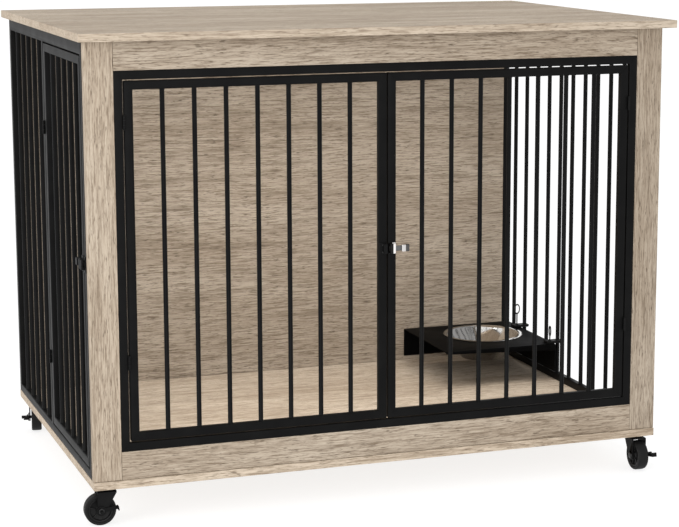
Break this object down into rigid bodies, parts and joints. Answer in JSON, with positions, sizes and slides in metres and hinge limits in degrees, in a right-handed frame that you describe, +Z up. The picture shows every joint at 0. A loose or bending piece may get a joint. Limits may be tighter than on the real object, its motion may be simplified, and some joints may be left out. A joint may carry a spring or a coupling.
{
  "type": "wire dog crate",
  "caption": "Furniture-style dog crate: wooden top, base, front frame and back, with barred black steel doors and sides, a raised bowl feeder and swivel casters.",
  "frame": {"origin": "on the floor under the middle of the tabletop", "axes": "+X to the right seen from the front, +Y to the back, +Z up; the front doors face -Y"},
  "size_m": [1.11, 0.756, 0.859],
  "materials": {
    "oak_laminate": "greige oak print, matt, fine streaky grain",
    "black_steel": "satin black powder coat",
    "chrome": "bright plated",
    "stainless": "polished stainless bowl",
    "black_rubber": "black moulded wheel"
  },
  "bodies": {
    "crate": {"tabletop": "oak_laminate", "bottom_board": "oak_laminate", "front_left_stile": "oak_laminate", "front_right_stile": "oak_laminate", "front_top_rail": "oak_laminate", "front_bottom_rail": "oak_laminate", "back_panel": "oak_laminate", "front_steel_frame": "black_steel", "left_side_frame": "black_steel", "right_side_panel": "black_steel", "front_left_upper_hinge_frame_leaf": "black_steel", "front_left_lower_hinge_frame_leaf": "black_steel", "front_right_upper_hinge_frame_leaf": "black_steel", "front_right_lower_hinge_frame_leaf": "black_steel", "side_upper_hinge_frame_leaf": "black_steel", "side_lower_hinge_frame_leaf": "black_steel", "side_latch_keeper": "black_steel", "front_left_caster_plate": "black_steel", "front_right_caster_plate": "black_steel", "rear_left_caster_plate": "black_steel", "rear_right_caster_plate": "black_steel"},
    "front_left_door": {"front_left_door": "black_steel", "front_left_upper_hinge_door_leaf": "black_steel", "front_left_lower_hinge_door_leaf": "black_steel", "front_latch_keeper": "black_steel"},
    "front_right_door": {"front_right_door": "black_steel", "front_right_upper_hinge_door_leaf": "black_steel", "front_right_lower_hinge_door_leaf": "black_steel", "front_latch_barrel": "chrome"},
    "left_side_door": {"left_side_door": "black_steel", "side_upper_hinge_door_leaf": "black_steel", "side_lower_hinge_door_leaf": "black_steel", "side_latch_barrel": "black_steel"},
    "front_latch_bolt": {"front_latch_bolt": "chrome"},
    "side_latch_bolt": {"side_latch_bolt": "black_steel"},
    "feeder": {"feeder_tray": "black_steel", "feeder_front_clamp": "black_steel", "feeder_rear_clamp": "black_steel"},
    "feeder_bowl": {"feeder_bowl": "stainless"},
    "feeder_front_screw": {"feeder_front_screw": "chrome"},
    "feeder_rear_screw": {"feeder_rear_screw": "chrome"},
    "front_left_swivel": {"front_left_caster_fork": "black_steel", "front_left_axle": "black_steel"},
    "front_left_wheel": {"front_left_wheel": "black_rubber"},
    "front_left_brake": {"front_left_brake_pedal": "black_steel"},
    "front_right_swivel": {"front_right_caster_fork": "black_steel", "front_right_axle": "black_steel"},
    "front_right_wheel": {"front_right_wheel": "black_rubber"},
    "front_right_brake": {"front_right_brake_pedal": "black_steel"},
    "rear_left_swivel": {"rear_left_caster_fork": "black_steel", "rear_left_axle": "black_steel"},
    "rear_left_wheel": {"rear_left_wheel": "black_rubber"},
    "rear_left_brake": {"rear_left_brake_pedal": "black_steel"},
    "rear_right_swivel": {"rear_right_caster_fork": "black_steel", "rear_right_axle": "black_steel"},
    "rear_right_wheel": {"rear_right_wheel": "black_rubber"},
    "rear_right_brake": {"rear_right_brake_pedal": "black_steel"}
  },
  "joints": [
    {"name": "front_left_door_swing", "type": "hinge", "parent": "crate", "child": "front_left_door", "pos_m": [-0.47425, -0.3495, 0.465], "axis": [0, 0, -1], "range_deg": [0, 170]},
    {"name": "front_right_door_swing", "type": "hinge", "parent": "crate", "child": "front_right_door", "pos_m": [0.47425, -0.3495, 0.465], "axis": [0, 0, 1], "range_deg": [0, 170]},
    {"name": "left_side_door_swing", "type": "hinge", "parent": "crate", "child": "left_side_door", "pos_m": [-0.54375, 0.0129, 0.46], "axis": [0, 0, -1], "range_deg": [0, 170]},
    {"name": "front_latch_slide", "type": "slide", "parent": "front_right_door", "child": "front_latch_bolt", "axis": [-1, 0, 0], "range_m": [0, 0.0085]},
    {"name": "side_latch_slide", "type": "slide", "parent": "left_side_door", "child": "side_latch_bolt", "axis": [0, -1, 0], "range_m": [0, 0.0085]},
    {"name": "feeder_height_slide", "type": "slide", "parent": "crate", "child": "feeder", "axis": [0, 0, 1], "range_m": [-0.018, 0.45]},
    {"name": "feeder_bowl_lift", "type": "slide", "parent": "feeder", "child": "feeder_bowl", "axis": [0, 0, 1], "range_m": [0, 0.1]},
    {"name": "feeder_front_screw_turn", "type": "hinge", "parent": "feeder", "child": "feeder_front_screw", "pos_m": [0.51375, 0.06683, 0.1708], "axis": [0, 0, 1], "continuous": true},
    {"name": "feeder_rear_screw_turn", "type": "hinge", "parent": "feeder", "child": "feeder_rear_screw", "pos_m": [0.51375, 0.23685, 0.1708], "axis": [0, 0, 1], "continuous": true},
    {"name": "front_left_swivel_turn", "type": "hinge", "parent": "crate", "child": "front_left_swivel", "pos_m": [-0.51575, -0.323, 0.055], "axis": [0, 0, 1], "continuous": true},
    {"name": "front_left_wheel_spin", "type": "hinge", "parent": "front_left_swivel", "child": "front_left_wheel", "pos_m": [-0.52654, -0.32262, 0.028], "axis": [-0.0349, -0.9994, 0], "continuous": true},
    {"name": "front_left_brake_tilt", "type": "hinge", "parent": "front_left_swivel", "child": "front_left_brake", "pos_m": [-0.52654, -0.32262, 0.028], "axis": [-0.0349, -0.9994, 0], "range_deg": [-14, 0]},
    {"name": "front_right_swivel_turn", "type": "hinge", "parent": "crate", "child": "front_right_swivel", "pos_m": [0.51575, -0.323, 0.055], "axis": [0, 0, 1], "continuous": true},
    {"name": "front_right_wheel_spin", "type": "hinge", "parent": "front_right_swivel", "child": "front_right_wheel", "pos_m": [0.51575, -0.3338, 0.028], "axis": [1, 0, 0], "continuous": true},
    {"name": "front_right_brake_tilt", "type": "hinge", "parent": "front_right_swivel", "child": "front_right_brake", "pos_m": [0.51575, -0.3338, 0.028], "axis": [1, 0, 0], "range_deg": [0, 14]},
    {"name": "rear_left_swivel_turn", "type": "hinge", "parent": "crate", "child": "rear_left_swivel", "pos_m": [-0.51575, 0.3375, 0.055], "axis": [0, 0, 1], "continuous": true},
    {"name": "rear_left_wheel_spin", "type": "hinge", "parent": "rear_left_swivel", "child": "rear_left_wheel", "pos_m": [-0.51387, 0.34814, 0.028], "axis": [-0.9848, 0.1736, 0], "continuous": true},
    {"name": "rear_left_brake_tilt", "type": "hinge", "parent": "rear_left_swivel", "child": "rear_left_brake", "pos_m": [-0.51387, 0.34814, 0.028], "axis": [-0.9848, 0.1736, 0], "range_deg": [-14, 0]},
    {"name": "rear_right_swivel_turn", "type": "hinge", "parent": "crate", "child": "rear_right_swivel", "pos_m": [0.51575, 0.3375, 0.055], "axis": [0, 0, 1], "continuous": true},
    {"name": "rear_right_wheel_spin", "type": "hinge", "parent": "rear_right_swivel", "child": "rear_right_wheel", "pos_m": [0.515, 0.34827, 0.028], "axis": [-0.9976, -0.0698, 0], "continuous": true},
    {"name": "rear_right_brake_tilt", "type": "hinge", "parent": "rear_right_swivel", "child": "rear_right_brake", "pos_m": [0.515, 0.34827, 0.028], "axis": [-0.9976, -0.0698, 0], "range_deg": [-14, 0]}
  ]
}
